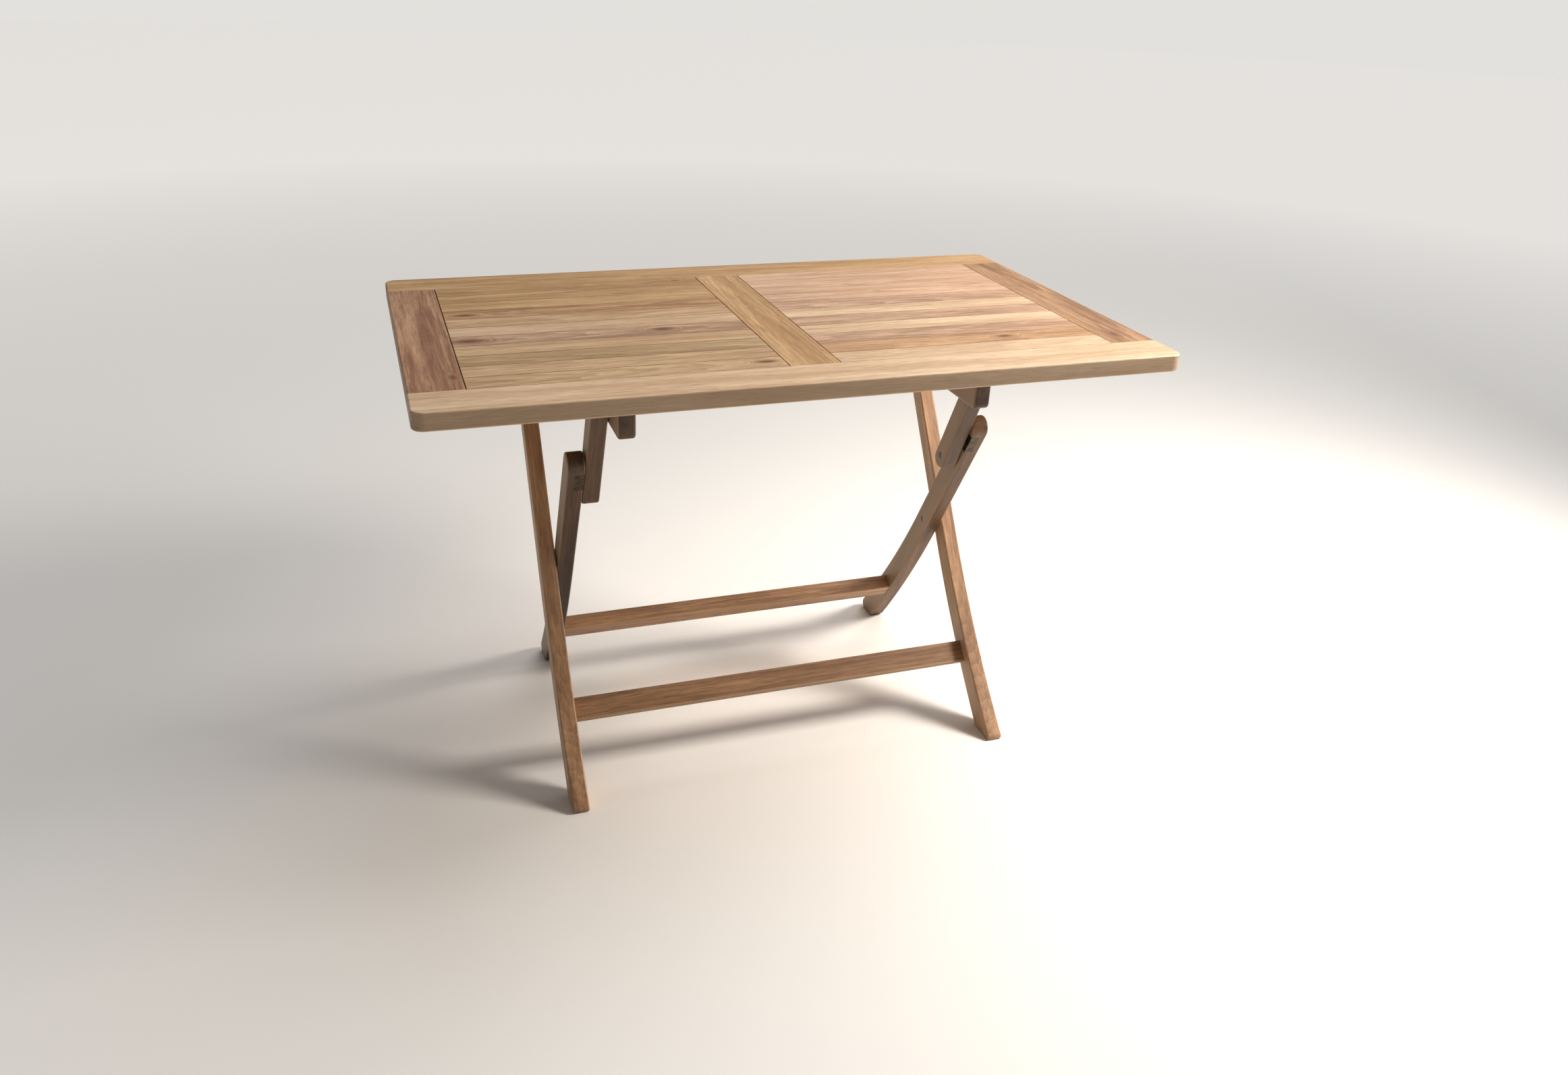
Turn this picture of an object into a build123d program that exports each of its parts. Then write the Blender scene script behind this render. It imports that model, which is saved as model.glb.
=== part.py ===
from build123d import *
import os

# Folding rectangular garden table in oiled teak. Two crossed leg frames carry a framed, slatted top.
# X runs along the length, Y from the front to the back, Z up. The origin is on the floor, under the
# middle of the top. Millimetres.

# Overall sizes
table_length = 1200
table_width = 700
table_height = 740

# Top: a frame of rails round two panels of slats
top_thickness = 28
rail_width = 80
corner_radius = 18
edge_round = 3
tenon_length = 25
tenon_width = 50
tenon_thickness = 10
slat_count = 11
slat_thickness = 14
slat_gap = 0.6
slat_end_gap = 2
slat_edge_bevel = 0.7
tongue_length = 8
tongue_thickness = 6
tongue_drop = 5
groove_play = 0.3
tenon_play = 0.5

# Frames under the top: every piece is board_thickness thick along X, with a gap for a washer between
board_thickness = 28
washer_gap = 2
bearer_inner_x = 278
bearer_drop = 98
bearer_corner = 8
bearer_edge_round = 5
bearer_end_play = 2
hinge_block_length = 70
hinge_block_drop = 92

# Pivots, in the YZ plane
pivot_drop = 61
leg_hinge_inset = 133
arm_hinge_inset = 147
crossing_offset = -14.5
crossing_share = 0.4757
over_centre = 1.9

# Outer legs, which are hinged to the top at the back and stand at the front
outer_head_depth = 30
outer_bend_depth = 36
outer_bend_below_crossing = 25
outer_foot_kick = 53
outer_foot_length = 60
outer_toe_radius = 5

# Inner legs, which stand at the back and hang from the link arms at the front
inner_depth = 40
inner_head_above_link = 72
inner_foot_kick = 40
inner_foot_length = 60
inner_heel_radius = 18
inner_toe_radius = 12
leg_edge_round = 3

# Stretchers, tenoned between the legs of each frame; the station is a share of the foot's curve
outer_stretcher_depth = 40
outer_stretcher_thickness = 20
outer_stretcher_set_back = 18
outer_stretcher_station = 0.565
inner_stretcher_depth = 34
inner_stretcher_thickness = 30
inner_stretcher_set_back = 3
inner_stretcher_station = 0.68
stretcher_round = 3
stretcher_tenon_length = 18
stretcher_tenon_shoulder = 5

# Link arms
arm_width = 34
arm_tail = 9

# Bolts, nuts, washers, inserts and screws
bolt_radius = 3
bolt_play = 0.05
head_radius = 5
head_height = 3.5
head_round = 2.5
socket_radius = 2
socket_depth = 1.8
recess_play = 0.5
nut_radius = 5
nut_height = 4.5
bolt_tip = 2
washer_radius = 8
washer_thickness = 1.4
face_play = 0.3
insert_radius = 4.5
insert_length = 22
insert_bore = 2.6
screw_radius = 2.2
screw_head_radius = 4.4
screw_head_height = 2.4
bearer_screw_sink = 35
bearer_screw_bite = 8
bearer_screw_slats = (3, 6, 8)
plate_length = 40
plate_width = 16
plate_return = 14
plate_thickness = 1.5
plate_above_link = 47
plate_screw_pitch = 22
plate_screw_length = 16
plate_screw_head = 4

# Levels and planes worked out from the sizes above
top_underside = table_height - top_thickness
slat_underside = table_height - slat_thickness
tongue_top = table_height - tongue_drop
tenon_middle = table_height - top_thickness / 2
inner_width = table_width - 2 * rail_width
panel_length = (table_length - 3 * rail_width) / 2
panel_centre_x = (rail_width + panel_length) / 2
slat_width = (inner_width - (slat_count + 1) * slat_gap) / slat_count
plane_step = board_thickness + washer_gap
bearer_middle_x = bearer_inner_x + board_thickness / 2
bearer_outer_x = bearer_inner_x + board_thickness
arm_inner_x = bearer_inner_x + plane_step
arm_outer_x = arm_inner_x + board_thickness
inner_leg_x = arm_inner_x + plane_step
outer_leg_x = inner_leg_x + plane_step
outer_face_x = outer_leg_x + board_thickness

# Pivot points, as (Y, Z). The link pivot's place on the inner leg is the one that lets the frames fold
# flat: outer leg, inner leg and link arm then lie in one line through both hinges.
hinge_height = table_height - pivot_drop
leg_hinge = Vector(table_width / 2 - leg_hinge_inset, hinge_height)
arm_hinge = Vector(arm_hinge_inset - table_width / 2, hinge_height)
crossing = Vector(crossing_offset, crossing_share * hinge_height)
outer_down = (crossing - leg_hinge).normalized()
reach = arm_hinge - crossing
inner_up = reach.normalized().rotate(Axis.Z, over_centre)
flat_offset = leg_hinge.X - (crossing - leg_hinge).length - arm_hinge.X
link_distance = (reach.length**2 - flat_offset**2) / (2 * (flat_offset + reach.dot(inner_up)))
link_pivot = crossing + inner_up * link_distance
front_of_inner = Vector(-inner_up.Y, inner_up.X)

os.makedirs("parts", exist_ok=True)


def save(piece, name):
    """Label a finished piece and write it as its own STEP file."""
    piece.part.label = name
    export_step(piece.part, f"parts/{name}.step")


def slat_middle_y(number):
    """Y of a slat's middle line; number 1 is at the front."""
    return (number - 0.5) * (slat_width + slat_gap) + slat_gap / 2 - inner_width / 2


def side_name(side):
    """Name of the end of the table that a side of -1 or 1 stands for."""
    return "left" if side < 0 else "right"


def drilling(point, x, outward):
    """Plane at x, square to the table's length, that a hole starts from; outward is -1 or 1 along X."""
    return Plane(origin=(x, point.X, point.Y), x_dir=(0, 1, 0), z_dir=(outward, 0, 0))


# ---- Top frame -----------------------------------------------------------------------------------


def make_long_rail(side, name):
    """Rail along the front or back edge, with mortises for the three cross rails' tenons."""
    middle_y = side * (table_width - rail_width) / 2
    inner_y = side * inner_width / 2
    with BuildPart() as rail:
        with BuildSketch(Plane.XY.offset(top_underside)) as outline:
            with Locations((0, middle_y)):
                Rectangle(table_length, rail_width)
            fillet(outline.vertices().group_by(Axis.Y)[0 if side < 0 else -1], corner_radius)
        extrude(amount=top_thickness)
        rims = rail.edges().group_by(Axis.Z)[0] + rail.edges().group_by(Axis.Z)[-1]
        fillet(rims.filter_by(lambda edge: abs(edge.center().Y - inner_y) > edge_round), edge_round)
        mortise_x = (table_length - rail_width) / 2
        with BuildSketch(Plane.XZ.offset(-inner_y)):
            with Locations(*[(x, tenon_middle) for x in (-mortise_x, 0, mortise_x)]):
                Rectangle(tenon_width + tenon_play, tenon_thickness)
        extrude(amount=-side * (tenon_length + tenon_play), mode=Mode.SUBTRACT)
    save(rail, name)


def add_rail_tenons(middle_x):
    """Add a cross rail's tenons, one past each shoulder."""
    for side in (-1, 1):
        with BuildSketch(Plane.XZ.offset(-side * inner_width / 2)) as section:
            with Locations((middle_x, tenon_middle)):
                Rectangle(tenon_width, tenon_thickness)
        extrude(section.sketch, amount=-side * tenon_length)


def cut_slat_groove(face_x, inward):
    """Cut the groove that holds the slats' tongues into a cross rail's side face."""
    groove_height = tongue_thickness + groove_play
    depth = tongue_length - slat_end_gap + tenon_play
    with BuildSketch(Plane.YZ.offset(face_x)) as section:
        with Locations((0, tongue_top + groove_play - groove_height / 2)):
            Rectangle(inner_width, groove_height)
    extrude(section.sketch, amount=inward * depth, mode=Mode.SUBTRACT)


def make_end_rail(side):
    """Rail across an end of the top, between the long rails."""
    middle_x = side * (table_length - rail_width) / 2
    with BuildPart() as rail:
        with BuildSketch(Plane.XY.offset(top_underside)):
            with Locations((middle_x, 0)):
                Rectangle(rail_width, inner_width)
        extrude(amount=top_thickness)
        outer_face = rail.faces().sort_by(Axis.X)[0 if side < 0 else -1]
        fillet(outer_face.edges().filter_by(Axis.Y), edge_round)
        add_rail_tenons(middle_x)
        cut_slat_groove(side * (table_length / 2 - rail_width), side)
    save(rail, f"end_rail_{side_name(side)}")


def make_centre_rail():
    """Rail across the middle of the top, grooved on both sides."""
    with BuildPart() as rail:
        with BuildSketch(Plane.XY.offset(top_underside)):
            Rectangle(rail_width, inner_width)
        extrude(amount=top_thickness)
        add_rail_tenons(0)
        for side in (-1, 1):
            cut_slat_groove(side * rail_width / 2, -side)
    save(rail, "centre_rail")


def make_slat(side, number):
    """One slat of a panel, tongued at both ends; number 1 is at the front."""
    middle_y = slat_middle_y(number)
    middle_x = side * panel_centre_x
    with BuildPart() as slat:
        with BuildSketch(Plane.XY.offset(slat_underside)):
            with Locations((middle_x, middle_y)):
                Rectangle(panel_length - 2 * slat_end_gap, slat_width)
        extrude(amount=slat_thickness)
        chamfer(slat.edges().group_by(Axis.Z)[-1].filter_by(Axis.X), slat_edge_bevel)
        with BuildSketch(Plane.XY.offset(tongue_top - tongue_thickness)):
            with Locations((middle_x, middle_y)):
                Rectangle(panel_length + 2 * (tongue_length - slat_end_gap), slat_width)
        extrude(amount=tongue_thickness)
        if number in bearer_screw_slats:
            with Locations(Plane((side * bearer_middle_x, middle_y, slat_underside), z_dir=(0, 0, -1))):
                Hole(screw_radius, bearer_screw_bite)
    save(slat, f"slat_{side_name(side)}_{number:02d}")


make_long_rail(-1, "front_rail")
make_long_rail(1, "back_rail")
make_centre_rail()
for end in (-1, 1):
    make_end_rail(end)
    for slat_number in range(1, slat_count + 1):
        make_slat(end, slat_number)


# ---- Bearers and hinge blocks --------------------------------------------------------------------


def make_bearer(side):
    """Board under the slats, from one long rail to the other, that carries both hinges."""
    bottom = table_height - bearer_drop
    height = slat_underside - bottom
    with BuildPart() as bearer:
        with BuildSketch(Plane.YZ.offset(side * bearer_inner_x)) as outline:
            with Locations((0, bottom + height / 2)):
                Rectangle(inner_width - 2 * bearer_end_play, height)
            fillet(outline.vertices().group_by(Axis.Y)[0], bearer_corner)
        extrude(amount=side * board_thickness)
        fillet(bearer.edges().filter_by(Axis.Y).group_by(Axis.Z)[0], bearer_edge_round)
        for pivot in (leg_hinge, arm_hinge):
            with Locations(drilling(pivot, side * bearer_outer_x, side)):
                Hole(bolt_radius + bolt_play)
        places = [(side * bearer_middle_x, slat_middle_y(number), bottom) for number in bearer_screw_slats]
        with Locations(*[Plane(place, z_dir=(0, 0, -1)) for place in places]):
            CounterBoreHole(screw_radius, screw_head_radius + recess_play, bearer_screw_sink)
    save(bearer, f"bearer_{side_name(side)}")


def make_hinge_block(side):
    """Block on the bearer's outer face that brings the leg hinge out to the outer leg's plane."""
    bottom = table_height - hinge_block_drop
    height = slat_underside - bottom
    with BuildPart() as block:
        with BuildSketch(Plane.YZ.offset(side * bearer_outer_x)) as outline:
            with Locations((leg_hinge.X, bottom + height / 2)):
                Rectangle(hinge_block_length, height)
            fillet(outline.vertices().group_by(Axis.Y)[0], bearer_corner)
        extrude(amount=side * (outer_leg_x - washer_gap - bearer_outer_x))
        with Locations(drilling(leg_hinge, side * (outer_leg_x - washer_gap), side)):
            Hole(bolt_radius + bolt_play)
    save(block, f"hinge_block_{side_name(side)}")


def make_bearer_screws():
    """Screws up through both bearers into the slats, with their heads sunk in counterbores."""
    head_z = table_height - bearer_drop + bearer_screw_sink
    length = slat_underside + bearer_screw_bite - head_z
    places = [(side * bearer_middle_x, slat_middle_y(number), head_z)
              for side in (-1, 1) for number in bearer_screw_slats]
    with BuildPart() as screws:
        with Locations(*places):
            Cylinder(screw_radius, length, align=(Align.CENTER, Align.CENTER, Align.MIN))
            Cylinder(screw_head_radius, screw_head_height, align=(Align.CENTER, Align.CENTER, Align.MAX))
    save(screws, "bearer_screws")


# ---- Leg frames ----------------------------------------------------------------------------------


def ease_outline(piece, radius):
    """Round the edges round both broad faces of a board that stands square to X."""
    fillet(piece.edges().group_by(Axis.X)[0] + piece.edges().group_by(Axis.X)[-1], radius)


def leg_outline(head, knee, head_half, knee_half, front_foot, back_foot, side_step):
    """Draw a leg: straight from its round head to the knee, then an arc down each edge to the floor.

    side_step is the unit vector from the leg's middle line to the edge that ends at front_foot.
    """
    with BuildLine() as outline:
        front = Line(head + side_step * head_half, knee + side_step * knee_half)
        front_curve = TangentArc(front @ 1, front_foot, tangent=front % 1)
        back = Line(head - side_step * head_half, knee - side_step * knee_half)
        back_curve = TangentArc(back @ 1, back_foot, tangent=back % 1)
        Line(front_curve @ 1, back_curve @ 1)
        ThreePointArc(front @ 0, head - (knee - head).normalized() * head_half, back @ 0)
    make_face(outline.edges())
    return front_curve


def floor_point(top, direction, kick):
    """Middle of a foot: where a leg's straight line would reach the floor, moved along Y by kick."""
    return top + direction * (top.Y / -direction.Y) + Vector(kick, 0)


def make_outer_leg(side):
    """Leg from the back hinge to the front foot."""
    foot = floor_point(leg_hinge, outer_down, -outer_foot_kick)
    knee = crossing + outer_down * outer_bend_below_crossing
    front_side = Vector(outer_down.Y, -outer_down.X)
    half_foot = Vector(outer_foot_length / 2, 0)
    with BuildPart() as leg:
        with BuildSketch(Plane.YZ.offset(side * outer_leg_x)) as outline:
            curve = leg_outline(leg_hinge, knee, outer_head_depth / 2, outer_bend_depth / 2,
                                foot - half_foot, foot + half_foot, front_side)
            fillet(outline.vertices().group_by(Axis.Y)[0], outer_toe_radius)
        extrude(amount=side * board_thickness)
        ease_outline(leg, leg_edge_round)
        with Locations(drilling(leg_hinge, side * outer_face_x, side)):
            Hole(bolt_radius + bolt_play)
        with Locations(drilling(crossing, side * outer_leg_x, -side)):
            Hole(insert_radius, insert_length)
        cut_stretcher_mortise(stretcher_plane(curve, outer_stretcher_station, side * outer_leg_x), side,
                              outer_stretcher_set_back, outer_stretcher_depth, outer_stretcher_thickness)
    save(leg, f"outer_leg_{side_name(side)}")
    return curve


def make_inner_leg(side):
    """Leg from its round head, above the link arm's bolt, to the back foot."""
    foot = floor_point(crossing, -inner_up, inner_foot_kick)
    head = link_pivot + inner_up * inner_head_above_link
    half_foot = Vector(inner_foot_length / 2, 0)
    half_depth = inner_depth / 2
    with BuildPart() as leg:
        with BuildSketch(Plane.YZ.offset(side * inner_leg_x)) as outline:
            curve = leg_outline(head, crossing, half_depth, half_depth,
                                foot - half_foot, foot + half_foot, front_of_inner)
            fillet(outline.vertices().group_by(Axis.Y)[0].sort_by(Axis.X)[0], inner_heel_radius)
            fillet(outline.vertices().group_by(Axis.Y)[0].sort_by(Axis.X)[-1], inner_toe_radius)
        extrude(amount=side * board_thickness)
        ease_outline(leg, leg_edge_round)
        with Locations(drilling(crossing, side * inner_leg_x, -side)):
            CounterBoreHole(bolt_radius + bolt_play, head_radius + recess_play, head_height + recess_play)
        with Locations(drilling(link_pivot, side * inner_leg_x, -side)):
            Hole(insert_radius, insert_length)
        cut_stretcher_mortise(stretcher_plane(curve, inner_stretcher_station, side * inner_leg_x), side,
                              inner_stretcher_set_back, inner_stretcher_depth, inner_stretcher_thickness)
        add_plate_solid(side, Mode.SUBTRACT)
        with Locations(*plate_screw_places(side)):
            Hole(screw_radius, plate_screw_length)
    save(leg, f"inner_leg_{side_name(side)}")
    return curve


def stretcher_plane(curve, station, x):
    """Plane at x on a foot's curve, with its local X down the curve and its local Y into the leg."""
    point = curve @ station
    down = curve % station
    return Plane(origin=(x, point.X, point.Y), x_dir=(0, down.X, down.Y), z_dir=(1, 0, 0))


def cut_stretcher_mortise(plane, side, set_back, depth, thickness):
    """Cut the blind mortise for a stretcher's tenon into a leg's inner face."""
    shoulders = 2 * stretcher_tenon_shoulder - tenon_play
    with BuildSketch(plane) as section:
        with Locations((0, set_back + thickness / 2)):
            Rectangle(depth - shoulders, thickness - shoulders)
    extrude(section.sketch, amount=side * (stretcher_tenon_length + tenon_play), mode=Mode.SUBTRACT)


def make_stretcher(curve, station, half_length, set_back, depth, thickness, name):
    """Bar between the two legs of a frame, with a tenon in each."""
    with BuildPart() as stretcher:
        with BuildSketch(stretcher_plane(curve, station, 0)):
            with Locations((0, set_back + thickness / 2)):
                RectangleRounded(depth, thickness, stretcher_round)
        extrude(amount=half_length, both=True)
        with BuildSketch(stretcher_plane(curve, station, 0)):
            with Locations((0, set_back + thickness / 2)):
                Rectangle(depth - 2 * stretcher_tenon_shoulder, thickness - 2 * stretcher_tenon_shoulder)
        extrude(amount=half_length + stretcher_tenon_length, both=True)
    save(stretcher, name)


def make_link_arm(side):
    """Arm from the bearer's front hinge down to the inner leg."""
    down = (link_pivot - arm_hinge).normalized()
    length = (link_pivot - arm_hinge).length + arm_tail
    middle = arm_hinge + down * (length / 2)
    with BuildPart() as arm:
        with BuildSketch(Plane(origin=(side * arm_inner_x, middle.X, middle.Y),
                               x_dir=(0, down.X, down.Y), z_dir=(1, 0, 0))):
            SlotCenterToCenter(length, arm_width)
        extrude(amount=side * board_thickness)
        ease_outline(arm, leg_edge_round)
        with Locations(drilling(arm_hinge, side * arm_outer_x, side)):
            CounterBoreHole(bolt_radius + bolt_play, nut_radius + recess_play, nut_height + recess_play)
        with Locations(drilling(link_pivot, side * arm_inner_x, -side)):
            CounterBoreHole(bolt_radius + bolt_play, head_radius + recess_play, head_height + recess_play)
    save(arm, f"link_arm_{side_name(side)}")


# ---- Steel stop plates on the inner legs ----------------------------------------------------------


def plate_plane(side):
    """Plane on an inner leg's front edge at the plate's middle: local X up the leg, local Z outward."""
    point = link_pivot + inner_up * plate_above_link + front_of_inner * (inner_depth / 2)
    return Plane(origin=(side * inner_leg_x, point.X, point.Y), x_dir=(0, inner_up.X, inner_up.Y),
                 z_dir=(0, front_of_inner.X, front_of_inner.Y))


def add_plate_solid(side, mode):
    """Bent strip let in flush at the leg's inner front edge: one leaf on each face."""
    plane = plate_plane(side)
    reach_across = side * plane.y_dir.X
    for width, depth in ((plate_width, plate_thickness), (plate_thickness, plate_return)):
        with BuildSketch(plane) as leaf:
            with Locations((0, reach_across * width / 2)):
                Rectangle(plate_length, width)
        extrude(leaf.sketch, amount=-depth, mode=mode)


def plate_screw_places(side):
    """Planes of the plate's two screws, on its front leaf."""
    plane = plate_plane(side)
    middle = side * plane.y_dir.X * (plate_width + plate_thickness) / 2
    return [Plane(plane.from_local_coords((x, middle, 0)), z_dir=plane.z_dir)
            for x in (-plate_screw_pitch / 2, plate_screw_pitch / 2)]


def make_stop_plate(side):
    """Steel plate with two countersunk holes."""
    with BuildPart() as plate:
        add_plate_solid(side, Mode.ADD)
        with Locations(*plate_screw_places(side)):
            Cone(screw_radius, plate_screw_head, plate_thickness,
                 align=(Align.CENTER, Align.CENTER, Align.MAX), mode=Mode.SUBTRACT)
    save(plate, f"stop_plate_{side_name(side)}")


def make_plate_screws():
    """Countersunk screws of both plates, flush with the plates' faces."""
    with BuildPart() as screws:
        for side in (-1, 1):
            with Locations(*plate_screw_places(side)):
                Cone(screw_radius, plate_screw_head, plate_thickness,
                     align=(Align.CENTER, Align.CENTER, Align.MAX))
                Cylinder(screw_radius, plate_screw_length, align=(Align.CENTER, Align.CENTER, Align.MAX))
    save(screws, "stop_plate_screws")


# ---- Bolts, nuts, washers and inserts ------------------------------------------------------------


def outward_from(point, x, outward):
    """Place at x for a turned piece that grows along X; outward is -1 or 1."""
    return Location(drilling(point, x, outward))


def add_bolt(point, head_x, outward, length):
    """Bolt whose domed head stands outward of head_x and whose shank runs length the other way."""
    with Locations(outward_from(point, head_x, outward)):
        Cylinder(head_radius, head_height, align=(Align.CENTER, Align.CENTER, Align.MIN))
    crown = faces(Select.LAST).sort_by(Axis.X)[-1 if outward > 0 else 0]
    fillet(crown.edges(), head_round)
    with Locations(outward_from(point, head_x + outward * head_height, outward)):
        Cylinder(socket_radius, socket_depth, align=(Align.CENTER, Align.CENTER, Align.MAX),
                 mode=Mode.SUBTRACT)
    with Locations(outward_from(point, head_x, outward)):
        Cylinder(bolt_radius, length, align=(Align.CENTER, Align.CENTER, Align.MAX))


def make_bolts(point, head_x, tip_x, name):
    """The two bolts at one pivot, each from the plane under its head to its tip."""
    with BuildPart() as bolts:
        for side in (-1, 1):
            outward = side if head_x > tip_x else -side
            add_bolt(point, side * head_x, outward, abs(tip_x - head_x))
    save(bolts, name)


def make_rings(point, inner_x, thickness, outer_radius, bore, name):
    """A ring at the same place on both sides of the table: washers, round nuts or inserts."""
    with BuildPart() as rings:
        for side in (-1, 1):
            with BuildSketch(Plane.YZ.offset(side * inner_x)):
                with Locations(point):
                    Circle(outer_radius)
                    Circle(bore, mode=Mode.SUBTRACT)
            extrude(amount=side * thickness)
    save(rings, name)


# ---- Everything under the top --------------------------------------------------------------------

make_bearer_screws()
make_plate_screws()
for end in (-1, 1):
    make_bearer(end)
    make_hinge_block(end)
    outer_curve = make_outer_leg(end)
    inner_curve = make_inner_leg(end)
    make_link_arm(end)
    make_stop_plate(end)
make_stretcher(outer_curve, outer_stretcher_station, outer_leg_x, outer_stretcher_set_back,
               outer_stretcher_depth, outer_stretcher_thickness, "outer_stretcher")
make_stretcher(inner_curve, inner_stretcher_station, inner_leg_x, inner_stretcher_set_back,
               inner_stretcher_depth, inner_stretcher_thickness, "inner_stretcher")

# Leg hinge: the head is on the outer leg's outer face and the nut on the bearer's inner face
leg_hinge_head_x = outer_face_x + face_play
make_bolts(leg_hinge, leg_hinge_head_x, bearer_inner_x - nut_height - bolt_tip, "leg_hinge_bolts")
make_rings(leg_hinge, bearer_inner_x - nut_height, nut_height, nut_radius, bolt_radius, "leg_hinge_nuts")
make_rings(leg_hinge, outer_leg_x - washer_gap, washer_thickness, washer_radius, bolt_radius,
           "leg_hinge_washers")

# Arm hinge: the head is on the bearer's inner face and the nut is sunk in the arm
sunk_nut_x = arm_outer_x - recess_play / 2
make_bolts(arm_hinge, bearer_inner_x, sunk_nut_x, "arm_hinge_bolts")
make_rings(arm_hinge, sunk_nut_x - nut_height, nut_height, nut_radius, bolt_radius, "arm_hinge_nuts")
make_rings(arm_hinge, bearer_outer_x, washer_thickness, washer_radius, bolt_radius, "arm_hinge_washers")

# Crossing: the bolt stays with the inner leg and stops short of the outer leg's insert and washer
crossing_head_x = inner_leg_x + head_height + recess_play
make_bolts(crossing, crossing_head_x, inner_leg_x + board_thickness + face_play, "crossing_bolts")
make_rings(crossing, outer_leg_x, insert_length, insert_radius, insert_bore, "crossing_inserts")
make_rings(crossing, outer_leg_x - washer_thickness, washer_thickness, washer_radius, insert_radius,
           "crossing_washers")

# Link: the bolt and the washer stay with the arm, and the bolt turns in the inner leg's insert
link_head_x = arm_inner_x + head_height + recess_play
make_bolts(link_pivot, link_head_x, inner_leg_x + insert_length - bolt_tip, "link_bolts")
make_rings(link_pivot, inner_leg_x, insert_length, insert_radius, bolt_radius + bolt_play, "link_inserts")
make_rings(link_pivot, arm_outer_x, washer_thickness, washer_radius, bolt_radius, "link_washers")
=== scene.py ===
import math
import random

import bmesh
import bpy
from mathutils import Matrix, Vector


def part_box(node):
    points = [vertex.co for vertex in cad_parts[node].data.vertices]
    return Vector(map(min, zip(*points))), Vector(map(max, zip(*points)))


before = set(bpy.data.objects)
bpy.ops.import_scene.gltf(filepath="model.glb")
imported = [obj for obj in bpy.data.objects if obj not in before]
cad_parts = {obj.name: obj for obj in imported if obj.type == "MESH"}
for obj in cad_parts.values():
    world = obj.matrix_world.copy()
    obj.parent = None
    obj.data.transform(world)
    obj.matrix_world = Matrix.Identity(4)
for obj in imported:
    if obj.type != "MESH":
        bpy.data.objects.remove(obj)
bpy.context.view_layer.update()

# ---------------------------------------------------------------- slats of the top
# Twenty-two strips of teak, planed, sanded and oiled, lie loose in grooves in the rails.
# They come from many boards, so each has its own tone: honey, gold, olive, pink or brown.
# Flat-sawn ones show arched figure and small knots; the others show straight lines.


def linear(hex_colour):
    """The linear colour that a shader takes, from an sRGB hex value."""
    srgb = [int(hex_colour[i : i + 2], 16) / 255 for i in (1, 3, 5)]
    return [c / 12.92 if c <= 0.04045 else ((c + 0.055) / 1.055) ** 2.4 for c in srgb] + [1]


def per_mm(spacing):
    """The scale that repeats a pattern every so many millimetres."""
    return 1000 / spacing


def add(tree, kind, sockets=(), **settings):
    """A new node with its settings, and its sockets filled with values or links."""
    node = tree.nodes.new(kind)
    for name, value in settings.items():
        setattr(node, name, value)
    for socket, value in dict(sockets).items():
        if isinstance(value, bpy.types.NodeSocket):
            tree.links.new(value, node.inputs[socket])
        else:
            node.inputs[socket].default_value = value
    return node


def wear(material, *names):
    """Puts a material on CAD pieces by name."""
    for name in names:
        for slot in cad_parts[name].material_slots:
            slot.material = material


# Light and dark wood of each kind of board, then the tones laid over them.
TEAK = {
    "honey": ("#E6C298", "#BE9870"),
    "gold": ("#E2BA88", "#B4895A"),
    "olive": ("#E2C298", "#AC8A60"),
    "pink": ("#F2C9AA", "#C9A080"),
    "rose": ("#EBC4A4", "#B48C6E"),
    "pale": ("#F3D5B2", "#CFA984"),
    "brown": ("#E0B488", "#A6784E"),
    "grey": ("#E4C2A0", "#AC8466"),
    "russet": ("#DCB088", "#96664A"),
    "heart": ("#CCA078", "#8C6646"),
    "tan": ("#B08660", "#7A5638"),
    # Umber and dusk are teak darkened as painted shade, for the parts that lie under the top.
    "umber_painted_shade": ("#946A46", "#563C26"),
    "dusk_painted_shade": ("#6C4A2C", "#3A2818"),
}
PALE_ARRIS = "#E6C297"
KNOT = "#74452A"
# Painted shade laid on the sides of rails, to make them darker than the top face.
SIDE_SHADE_PAINT = "#4A3324"
JOINT_SHADOW = "#4A3020"
LINE_DEPTH = 0.45
MM = 0.001

# A wave texture goes through one ring in this much of its own scale.
WAVE_PERIOD = math.tau / 20


def half_thickness(low, high, turn):
    """How far a piece's face stands from its middle, square to its grain and width."""
    through = turn @ Vector((0, 0, 1))
    return sum(abs(a) * s for a, s in zip(through, (high - low) / 2))


def half_across(low, high, turn):
    """How far a piece's long edge stands from its middle, square to its grain."""
    across = turn @ Vector((0, 1, 0))
    return sum(abs(a) * s for a, s in zip(across, (high - low) / 2))


def knotted(tree, board, knots, face):
    """Each knot pushes the rings aside, so that they loop round it. Gives the board's
    coordinates with that push, and how dark the knots make each place, or None."""
    knot_dark = None
    ringed = board
    push_aside = 20 * MM
    depth_reach = 50 * MM
    for along_mm, across_mm, size_mm in knots:
        near = add(
            tree, "ShaderNodeMapping",
            {"Vector": board,
             "Location": (along_mm * MM, across_mm * MM, face),
             "Scale": (4 * size_mm * MM, 1.6 * size_mm * MM, depth_reach)},
            vector_type="TEXTURE",
        ).outputs["Vector"]
        swell = add(
            tree, "ShaderNodeTexGradient", {"Vector": near}, gradient_type="SPHERICAL"
        ).outputs["Fac"]
        push = add(
            tree, "ShaderNodeCombineXYZ",
            {"Z": add(tree, "ShaderNodeMath", {0: swell, 1: push_aside},
                      operation="MULTIPLY").outputs[0]},
        ).outputs[0]
        ringed = add(tree, "ShaderNodeVectorMath", {0: ringed, 1: push}, operation="ADD").outputs[0]
        core = add(
            tree, "ShaderNodeMapRange",
            {"Value": swell, "From Min": 0.15, "From Max": 0.95},
            interpolation_type="SMOOTHSTEP",
        ).outputs[0]
        knot_dark = core if knot_dark is None else add(
            tree, "ShaderNodeMath", {0: knot_dark, 1: core}, operation="MAXIMUM"
        ).outputs[0]
    return ringed, knot_dark


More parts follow.
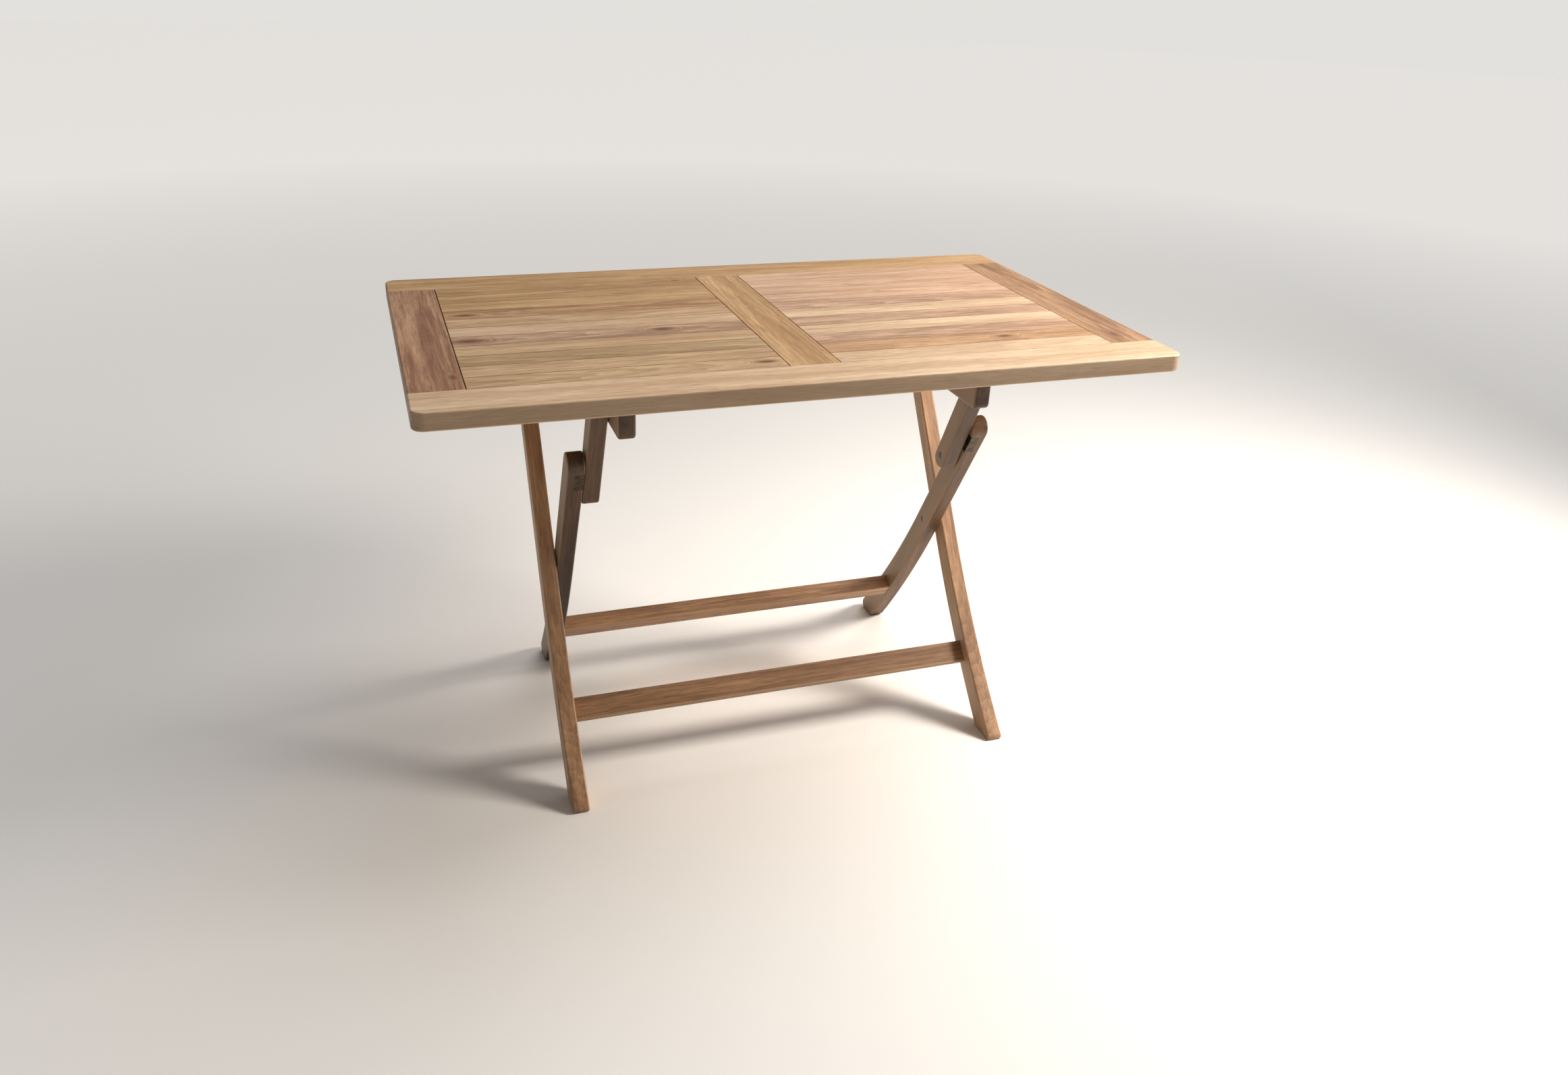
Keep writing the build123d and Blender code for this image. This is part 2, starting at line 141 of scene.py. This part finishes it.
def log_coordinates(tree, board, tilt, draw):
    """Where each place of the board was in the log, round a pith below the board. The grain
    is drawn out 14 times, and the board leans a little to the pith, which makes the arches."""
    drawn_out = 1 / 14
    lean = math.atan(math.tan(math.radians(tilt * draw.choice((-1, 1)))) / drawn_out)
    yaw = math.atan(math.tan(math.radians(tilt * draw.uniform(-0.5, 0.5))) / drawn_out)
    pith = (draw.uniform(0, 9), draw.uniform(-0.02, 0.02), draw.uniform(0.03, 0.07))
    return add(
        tree, "ShaderNodeMapping",
        {"Vector": board, "Location": pith, "Rotation": (0, lean, yaw), "Scale": (drawn_out, 1, 1)},
    ).outputs["Vector"]


def growth(tree, in_log):
    """The patterns of the wood, from wide to fine: rings 4 mm apart, drift of tone, streaks,
    fibres and pores."""
    rings = add(
        tree, "ShaderNodeTexWave",
        {"Vector": in_log, "Scale": WAVE_PERIOD * per_mm(4), "Distortion": 6.0, "Detail": 4.0,
         "Detail Scale": 0.8, "Detail Roughness": 0.6},
        wave_type="RINGS", rings_direction="X", wave_profile="SAW",
    ).outputs["Fac"]
    tone = add(
        tree, "ShaderNodeTexNoise",
        {"Vector": in_log, "Scale": per_mm(30), "Detail": 5.0, "Roughness": 0.62,
         "Distortion": 0.4},
    ).outputs["Fac"]
    streak = add(
        tree, "ShaderNodeTexNoise",
        {"Vector": in_log, "Scale": per_mm(7), "Detail": 4.0, "Roughness": 0.65,
         "Distortion": 0.6},
    ).outputs["Fac"]
    fibre = add(
        tree, "ShaderNodeTexNoise",
        {"Vector": in_log, "Scale": per_mm(2.4), "Detail": 3.0, "Roughness": 0.7},
    ).outputs["Fac"]
    # Real pore lines are 0.2 mm wide; these are 1.1 mm, as coarse as they need to show.
    fine = add(
        tree, "ShaderNodeMapping", {"Vector": in_log, "Scale": (0.4, 1, 1)}
    ).outputs["Vector"]
    pores = add(
        tree, "ShaderNodeTexNoise",
        {"Vector": fine, "Scale": per_mm(1.1), "Detail": 2.0, "Roughness": 0.7},
    ).outputs["Fac"]
    return rings, tone, streak, fibre, pores


def wood_colour(tree, kind, patterns, figure, streaks, knot_dark):
    """Light and dark wood mixed by the rings and the drift of tone, then dark streaks,
    fibres, pores and knots over them."""
    rings, tone, streak, fibre, pores = patterns
    light, dark = (linear(colour) for colour in TEAK[kind])
    dark_line = [channel * LINE_DEPTH for channel in dark[:3]] + [1]
    ring_part = add(tree, "ShaderNodeMath", {0: rings, 1: figure}, operation="MULTIPLY").outputs[0]
    tone_part = add(
        tree, "ShaderNodeMapRange",
        {"Value": tone, "From Min": 0.36, "From Max": 0.64, "To Max": 1.0 - figure * 0.4},
    ).outputs[0]
    darkness = add(
        tree, "ShaderNodeMath", {0: ring_part, 1: tone_part}, operation="ADD", use_clamp=True
    ).outputs[0]
    colour = add(
        tree, "ShaderNodeMix", {0: darkness, 6: light, 7: dark}, data_type="RGBA"
    ).outputs[2]
    streak_part = add(
        tree, "ShaderNodeMapRange",
        {"Value": streak, "From Min": 0.53, "From Max": 0.66, "To Max": streaks},
        interpolation_type="SMOOTHSTEP",
    ).outputs[0]
    colour = add(
        tree, "ShaderNodeMix", {0: streak_part, 6: colour, 7: dark_line}, data_type="RGBA"
    ).outputs[2]
    for lines, start, strength in ((fibre, 0.48, 0.7), (pores, 0.5, 0.75)):
        drawn = add(
            tree, "ShaderNodeMapRange",
            {"Value": lines, "From Min": start, "From Max": 0.82, "To Max": strength},
        ).outputs[0]
        colour = add(
            tree, "ShaderNodeMix", {0: drawn, 6: colour, 7: dark_line}, data_type="RGBA"
        ).outputs[2]
    if knot_dark is not None:
        colour = add(
            tree, "ShaderNodeMix", {0: knot_dark, 6: colour, 7: linear(KNOT)}, data_type="RGBA"
        ).outputs[2]
    return colour


def off_middle(tree, board, axis):
    """How far each place stands from the middle of the board along one of its axes."""
    along_axis = add(tree, "ShaderNodeSeparateXYZ", {0: board}).outputs[axis]
    return add(tree, "ShaderNodeMath", {0: along_axis}, operation="ABSOLUTE").outputs[0]


def finished_edges(tree, board, colour, half_width, face, side_shade, joint):
    """Paler arrises in the last 3 mm of the width; then, where asked for, painted shade that
    darkens the sides below the top face, and a dark line in the last millimetre, where boards meet."""
    from_middle = off_middle(tree, board, "Y")
    arris = add(
        tree, "ShaderNodeMapRange",
        {"Value": from_middle, "From Min": half_width - 3 * MM, "From Max": half_width,
         "To Max": 0.3},
        interpolation_type="SMOOTHSTEP",
    ).outputs[0]
    colour = add(
        tree, "ShaderNodeMix", {0: arris, 6: colour, 7: linear(PALE_ARRIS)}, data_type="RGBA"
    ).outputs[2]
    # Painted shade: the sides, away from the top face, get darker.
    if side_shade:
        side_shade_mask = add(
            tree, "ShaderNodeMapRange",
            {"Value": off_middle(tree, board, "Z"), "From Min": face - 0.4 * MM,
             "From Max": face - 3 * MM, "To Max": side_shade},
        ).outputs[0]
        colour = add(
            tree, "ShaderNodeMix", {0: side_shade_mask, 6: colour, 7: linear(SIDE_SHADE_PAINT)}, data_type="RGBA"
        ).outputs[2]
    if joint:
        gap = add(
            tree, "ShaderNodeMapRange",
            {"Value": from_middle, "From Min": half_width - 1.4 * MM,
             "From Max": half_width - 0.3 * MM, "To Max": joint},
        ).outputs[0]
        colour = add(
            tree, "ShaderNodeMix", {0: gap, 6: colour, 7: linear(JOINT_SHADOW)},
            data_type="RGBA",
        ).outputs[2]
    return colour


def sanded_teak(name, kind, along=(1, 0, 0), figure=0.5, streaks=0.3, tilt=1.0, knots=(),
                joint=0.0, side_shade=0.0):
    """Oiled, sanded teak for one CAD piece: growth rings cut by its faces, so that arches,
    lines and knots run through it as through the real board; dark pore lines; paler
    arrises, where sanding has rounded the edge; and a soft, slightly uneven sheen."""
    low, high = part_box(name)
    turn = Vector(along).to_track_quat("X", "Z")
    face = half_thickness(low, high, turn)
    material = bpy.data.materials.new("sanded_teak_" + name)
    material.use_nodes = True
    tree = material.node_tree
    shader = tree.nodes["Principled BSDF"]
    place = add(tree, "ShaderNodeTexCoord").outputs["Object"]
    board = add(
        tree, "ShaderNodeMapping",
        {"Vector": place, "Location": (low + high) / 2, "Rotation": turn.to_euler()},
        vector_type="TEXTURE",
    ).outputs["Vector"]

    ringed, knot_dark = knotted(tree, board, knots, face)
    in_log = log_coordinates(tree, ringed, tilt, random.Random(name))
    patterns = growth(tree, in_log)
    colour = wood_colour(tree, kind, patterns, figure, streaks, knot_dark)
    colour = finished_edges(
        tree, board, colour, half_across(low, high, turn), face, side_shade, joint
    )
    tree.links.new(colour, shader.inputs["Base Color"])

    rings, tone, _, _, pores = patterns
    sheen = add(
        tree, "ShaderNodeMapRange", {"Value": tone, "To Min": 0.42, "To Max": 0.58}
    ).outputs[0]
    tree.links.new(sheen, shader.inputs["Roughness"])
    shader.inputs["IOR"].default_value = 1.5
    relief = add(tree, "ShaderNodeMath", {0: rings, 1: pores}, operation="ADD").outputs[0]
    bump = add(
        tree, "ShaderNodeBump", {"Height": relief, "Strength": 0.25, "Distance": 0.3 * MM}
    ).outputs[0]
    tree.links.new(bump, shader.inputs["Normal"])
    wear(material, name)


# Each slat from the front one, 01, to the back one, 11: kind, figure, streaks, tilt in degrees,
# and knots as millimetres along, millimetres across and size.
SLATS = {
    "left": (
        ("honey", 0.8, 0.4, 2.4, ((210, 4, 9),)),
        ("honey", 0.6, 0.4, 1.6, ()),
        ("olive", 0.5, 0.4, 1.2, ()),
        ("honey", 0.25, 0.2, 0.5, ()),
        ("grey", 0.7, 0.5, 1.6, ((-212, 0, 13), (98, 4, 9))),
        ("pale", 0.3, 0.3, 0.6, ()),
        ("honey", 0.7, 0.45, 1.4, ()),
        ("brown", 0.6, 0.7, 1.0, ((-205, -3, 9),)),
        ("gold", 0.4, 0.35, 0.8, ()),
        ("gold", 0.35, 0.4, 0.7, ()),
        ("gold", 0.6, 0.6, 1.0, ((196, 8, 4),)),
    ),
    "right": (
        ("pale", 0.4, 0.25, 1.2, ()),
        ("brown", 0.5, 0.4, 1.0, ((80, 0, 8),)),
        ("rose", 0.6, 0.4, 1.8, ()),
        ("pale", 0.3, 0.2, 0.6, ()),
        ("rose", 0.5, 0.5, 0.8, ()),
        ("pale", 0.4, 0.3, 0.8, ()),
        ("rose", 0.8, 0.45, 2.2, ()),
        ("pink", 0.45, 0.4, 0.8, ()),
        ("pink", 0.5, 0.45, 0.8, ()),
        ("pink", 0.3, 0.25, 0.6, ()),
        ("pink", 0.3, 0.3, 0.6, ()),
    ),
}
for side, boards in SLATS.items():
    for number, (kind, figure, streaks, tilt, knots) in enumerate(boards, 1):
        sanded_teak(
            f"slat_{side}_{number:02d}", kind,
            figure=figure, streaks=streaks, tilt=tilt, knots=knots, joint=0.7,
        )

# ---------------------------------------------------------------- rails of the top
# Two long rails and three cross rails frame the slats. They are solid teak, 80 mm wide,
# tenoned and glued together, with sanded faces and softly rounded outer corners.

ACROSS = (0, 1, 0)
# The rails' sides are darkened with painted shade.
sanded_teak("front_rail", "pale", figure=0.35, streaks=0.1, tilt=0.4, side_shade=0.5)
sanded_teak("back_rail", "gold", figure=0.4, streaks=0.15, tilt=0.5, side_shade=0.5)
sanded_teak("centre_rail", "gold", ACROSS, figure=0.5, streaks=0.3, tilt=0.8, side_shade=0.5)
sanded_teak("end_rail_left", "russet", ACROSS, figure=0.4, streaks=0.35, tilt=0.3,
            knots=((-215, -28, 6),), side_shade=0.5)
sanded_teak("end_rail_right", "heart", ACROSS, figure=0.5, streaks=0.3, tilt=0.8,
            knots=((-225, 10, 8),), side_shade=0.5)

# ---------------------------------------------------------------- bearers and hinge blocks
# Teak lengths under the slats, held by screws. The arms hang from the bearers, and the
# outer legs are hinged at the blocks. They are painted in very dark, brown teak: painted shade from
# the top.

for side in ("left", "right"):
    sanded_teak("bearer_" + side, "dusk_painted_shade", ACROSS, figure=0.4, streaks=0.3, tilt=0.3)
    sanded_teak("hinge_block_" + side, "dusk_painted_shade", ACROSS, figure=0.4, streaks=0.3, tilt=0.3)

# ---------------------------------------------------------------- legs, stretchers and arms
# Each leg is sawn from a wide board, so the grain runs straight through and out at the curved
# foot. The stretchers are tenoned into them, and short arms tie the inner legs to the top.

# Degrees from upright, positive towards the back.
OUTER_LEAN = 33
INNER_LEAN = -29.8
ARM_LEAN = -26
# The left inner leg gets the darker kind, as painted shade: it lies deeper in the top's shade.
INNER_LEG_SHADED_KIND = {"left": "dusk_painted_shade", "right": "umber_painted_shade"}


def leaning(degrees):
    """The direction up a piece that leans towards the back by so many degrees."""
    return (0, math.sin(math.radians(degrees)), math.cos(math.radians(degrees)))


# The darker teak of the legs and arms is painted shade from the top: partly on the outer legs, mostly
# on the inner legs and arms.
for side in ("left", "right"):
    sanded_teak("outer_leg_" + side, "heart", leaning(OUTER_LEAN),
                figure=0.3, streaks=0.2, tilt=0.2)
    sanded_teak("inner_leg_" + side, INNER_LEG_SHADED_KIND[side],
                leaning(INNER_LEAN), figure=0.35, streaks=0.3, tilt=0.2)
    sanded_teak("link_arm_" + side, "dusk_painted_shade", leaning(ARM_LEAN),
                figure=0.35, streaks=0.3, tilt=0.2)
sanded_teak("outer_stretcher", "tan", figure=0.4, streaks=0.3, tilt=0.4)
sanded_teak("inner_stretcher", "heart", figure=0.4, streaks=0.3, tilt=0.4)

# ---------------------------------------------------------------- steel fittings
# Bolts, nuts, threaded inserts, washers and screws are of zinc-plated steel gone dull outdoors.
# The two plates let into the inner legs are bent from browner steel strip, and screwed on.


def dulled_steel(name, colour, spots, grain_mm):
    """Turned or pressed steel with a plated skin: it keeps a soft metal shine, with a fine
    brushed grain and duller, darker spots where the plating has aged."""
    material = bpy.data.materials.new(name)
    material.use_nodes = True
    tree = material.node_tree
    shader = tree.nodes["Principled BSDF"]
    place = add(tree, "ShaderNodeTexCoord").outputs["Object"]
    cloud = add(
        tree, "ShaderNodeTexNoise",
        {"Vector": place, "Scale": per_mm(9), "Detail": 5.0, "Roughness": 0.65},
    ).outputs["Fac"]
    brushed = add(tree, "ShaderNodeMapping", {"Vector": place, "Scale": (1, 0.08, 1)}).outputs[0]
    grain = add(
        tree, "ShaderNodeTexNoise", {"Vector": brushed, "Scale": per_mm(grain_mm), "Detail": 2.0}
    ).outputs["Fac"]
    aged = add(
        tree, "ShaderNodeMapRange",
        {"Value": cloud, "From Min": 0.42, "From Max": 0.66},
        interpolation_type="SMOOTHSTEP",
    ).outputs[0]
    tint = add(
        tree, "ShaderNodeMix", {0: aged, 6: linear(colour), 7: linear(spots)}, data_type="RGBA"
    ).outputs[2]
    dull = add(tree, "ShaderNodeMapRange", {"Value": cloud, "To Min": 0.3, "To Max": 0.62}).outputs[0]
    bump = add(
        tree, "ShaderNodeBump", {"Height": grain, "Strength": 0.2, "Distance": 0.1 * MM}
    ).outputs[0]
    shader.inputs["Metallic"].default_value = 1.0
    tree.links.new(tint, shader.inputs["Base Color"])
    tree.links.new(dull, shader.inputs["Roughness"])
    tree.links.new(bump, shader.inputs["Normal"])
    return material


plated = dulled_steel("zinc_plated_steel", "#A9A69C", "#6E685C", 1.2)
wear(plated, *(f"{place}_{part}" for place in ("leg_hinge", "arm_hinge")
               for part in ("bolts", "nuts", "washers")))
wear(plated, *(f"{place}_{part}" for place in ("crossing", "link")
               for part in ("bolts", "inserts", "washers")))
wear(plated, "bearer_screws")
wear(dulled_steel("pressed_steel_strip", "#5A4F42", "#3E352B", 1.6),
     "stop_plate_left", "stop_plate_right", "stop_plate_screws")

# ---------------------------------------------------------------- floor, light and camera
# A plain pale studio: a warm lamp on the right, a weak one in front, and broad daylight from
# behind on the right. The camera stands in front and to the left, and looks down on the top.

# In metres: the floor, the dome behind it, and how far out the floor is fully lit up.
FLOOR_HALF_SIDE = 20
BACKDROP_RADIUS = 19
GLOW_REACH = 7
FLOOR_PAINT = "#F4F1ED"

floor_mesh = bpy.data.meshes.new("floor")
floor_form = bmesh.new()
bmesh.ops.create_grid(floor_form, x_segments=1, y_segments=1, size=FLOOR_HALF_SIDE)
floor_form.to_mesh(floor_mesh)
floor_form.free()
floor = bpy.data.objects.new("floor", floor_mesh)
bpy.context.scene.collection.objects.link(floor)

# Matt paint gives a soft shadow round the feet. Far from the table it is lit up a little, so
# that it runs into the backdrop with no line.
matt = bpy.data.materials.new("matt_painted_floor")
matt.use_nodes = True
paint = matt.node_tree.nodes["Principled BSDF"]
paint.inputs["Base Color"].default_value = linear(FLOOR_PAINT)
paint.inputs["Roughness"].default_value = 0.9
paint.inputs["Emission Color"].default_value = linear(FLOOR_PAINT)
from_table = add(
    matt.node_tree, "ShaderNodeMapping",
    {"Vector": add(matt.node_tree, "ShaderNodeTexCoord").outputs["Object"],
     "Scale": (GLOW_REACH, GLOW_REACH, GLOW_REACH)},
    vector_type="TEXTURE",
).outputs["Vector"]
near_table = add(
    matt.node_tree, "ShaderNodeTexGradient", {"Vector": from_table}, gradient_type="SPHERICAL"
).outputs["Fac"]
far_off = add(
    matt.node_tree, "ShaderNodeMapRange",
    {"Value": near_table, "From Min": 0.82, "From Max": 0.1, "To Max": 0.36},
).outputs[0]
matt.node_tree.links.new(far_off, paint.inputs["Emission Strength"])
floor_mesh.materials.append(matt)

# A pale dome closes the view behind the floor. It is only for the eye, and lights nothing.
dome_mesh = bpy.data.meshes.new("backdrop")
dome_form = bmesh.new()
bmesh.ops.create_uvsphere(dome_form, u_segments=48, v_segments=24, radius=BACKDROP_RADIUS)
dome_form.to_mesh(dome_mesh)
dome_form.free()
backdrop = bpy.data.objects.new("backdrop", dome_mesh)
bpy.context.scene.collection.objects.link(backdrop)
glow = bpy.data.materials.new("lit_paper_backdrop")
glow.use_nodes = True
paper = glow.node_tree.nodes["Principled BSDF"]
paper.inputs["Base Color"].default_value = linear("#000000")
paper.inputs["Specular IOR Level"].default_value = 0.0
paper.inputs["Emission Color"].default_value = linear("#E3E1DD")
paper.inputs["Emission Strength"].default_value = 1.0
dome_mesh.materials.append(glow)
for rays in ("diffuse", "glossy", "transmission", "shadow"):
    setattr(backdrop, "visible_" + rays, False)


def lamp(name, place, aim, size, power, colour):
    """A square soft lamp that faces a point."""
    data = bpy.data.lights.new(name, "AREA")
    data.shape, data.size = "SQUARE", size
    data.energy, data.color = power, linear(colour)[:3]
    light = bpy.data.objects.new(name, data)
    light.location = place
    light.rotation_euler = (Vector(aim) - Vector(place)).to_track_quat("-Z", "Y").to_euler()
    light.visible_camera = False
    bpy.context.scene.collection.objects.link(light)


lamp("right_key", (1.9, -0.5, 1.5), (0, 0, 0.6), 0.6, 72, "#FFF8EE")
lamp("front_fill", (-1.8, -2.6, 2.2), (0, 0, 0.5), 2.0, 2, "#FFFFFF")

daylight = bpy.data.lights.new("daylight", "SUN")
daylight.energy = 1.35
daylight.angle = math.radians(50)
sun = bpy.data.objects.new("daylight", daylight)
sun.rotation_euler = Vector((-0.5, -0.45, -1)).to_track_quat("-Z", "Y").to_euler()
bpy.context.scene.collection.objects.link(sun)

sky = bpy.data.worlds.new("pale_sky")
sky.use_nodes = True
sky.node_tree.nodes["Background"].inputs["Color"].default_value = linear("#FFFFFF")
sky.node_tree.nodes["Background"].inputs["Strength"].default_value = 0.14
bpy.context.scene.world = sky
bpy.context.scene.view_settings.view_transform = "Standard"

CAMERA_PLACE = (-0.650, -1.901, 1.315)
heading, look_down, roll = (math.radians(a) for a in (18.9, 24.51, 2.11))
camera_data = bpy.data.cameras.new("camera")
camera_data.sensor_width = 36
camera_data.lens = 27.84
camera_data.shift_x = 0.019
camera_data.shift_y = -0.0257
camera_data.clip_end = 100
camera = bpy.data.objects.new("camera", camera_data)
camera.matrix_world = (
    Matrix.Translation(CAMERA_PLACE)
    @ Matrix.Rotation(-heading, 4, "Z")
    @ Matrix.Rotation(math.radians(90) - look_down, 4, "X")
    @ Matrix.Rotation(roll, 4, "Z")
)
bpy.context.scene.collection.objects.link(camera)
bpy.context.scene.camera = camera
